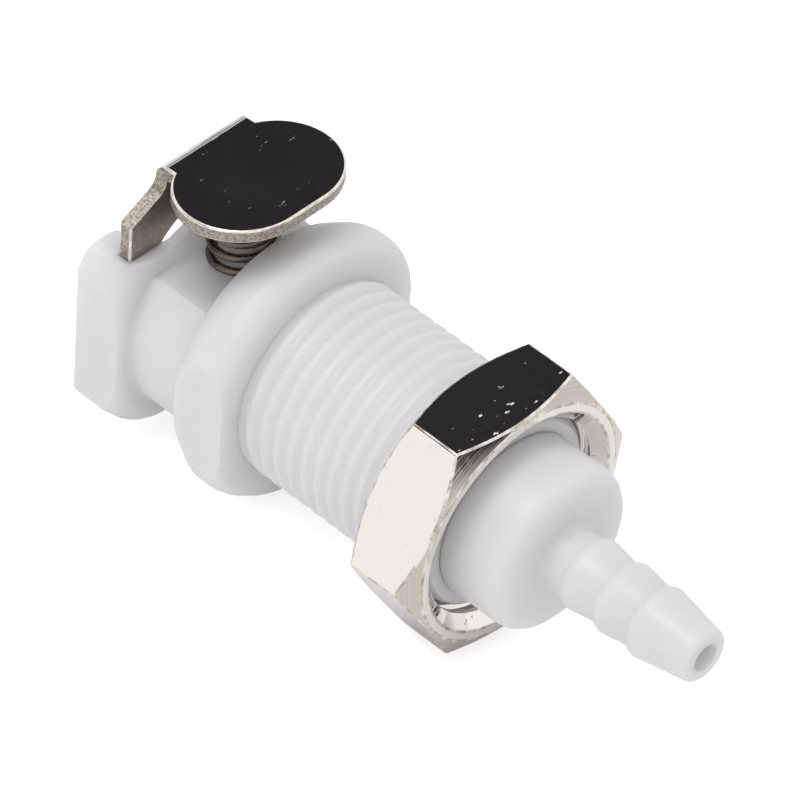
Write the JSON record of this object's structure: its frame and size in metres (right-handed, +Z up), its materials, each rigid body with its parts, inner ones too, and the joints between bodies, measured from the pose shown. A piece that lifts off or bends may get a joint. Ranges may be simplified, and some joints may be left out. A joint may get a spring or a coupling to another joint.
{
  "type": "quick disconnect coupling",
  "caption": "Panel-mount plastic quick disconnect coupling body with a sprung metal thumb latch, a shut-off valve, a hexagonal panel nut and a barbed hose end.",
  "frame": {"origin": "on the flow axis, in the plane of the flange's face that lies against the panel", "axes": "+X along the flow axis, from the socket's mouth towards the hose barb; +Z up, towards the thumb pad"},
  "size_m": [0.0433, 0.0184, 0.0207],
  "materials": {
    "acetal_white": "satin moulded",
    "nickel_plate": "bright nickel plated",
    "stainless_sheet": "polished",
    "spring_steel": "drawn wire",
    "pin_steel": "ground",
    "seal_rubber": "matt"
  },
  "bodies": {
    "body": {"coupling_body": "acetal_white", "barb_termination": "acetal_white", "latch_spring": "spring_steel", "pin_spring": "spring_steel", "valve_spring": "spring_steel"},
    "latch": {"thumb_latch": "stainless_sheet"},
    "pin": {"latch_pin": "pin_steel"},
    "valve": {"valve_poppet": "acetal_white", "valve_seal": "seal_rubber"},
    "nut": {"panel_nut": "nickel_plate"}
  },
  "joints": [
    {"name": "latch_lift", "type": "slide", "parent": "body", "child": "latch", "axis": [0, 0, 1], "range_m": [0, 0.0015], "stiffness_N_per_m": 400, "deforming": ["latch_spring"]},
    {"name": "pin_push", "type": "slide", "parent": "body", "child": "pin", "axis": [1, 0, 0], "range_m": [0, 0.0009], "deforming": ["pin_spring"]},
    {"name": "valve_open", "type": "slide", "parent": "body", "child": "valve", "axis": [1, 0, 0], "range_m": [0, 0.002], "stiffness_N_per_m": 300, "deforming": ["valve_spring"]},
    {"name": "nut_travel", "type": "slide", "parent": "body", "child": "nut", "axis": [1, 0, 0], "range_m": [-0.0096, 0.0028]}
  ],
  "couplings": [
    {"joint": "pin_push", "follows": "latch_lift", "ratio": 0.6}
  ]
}
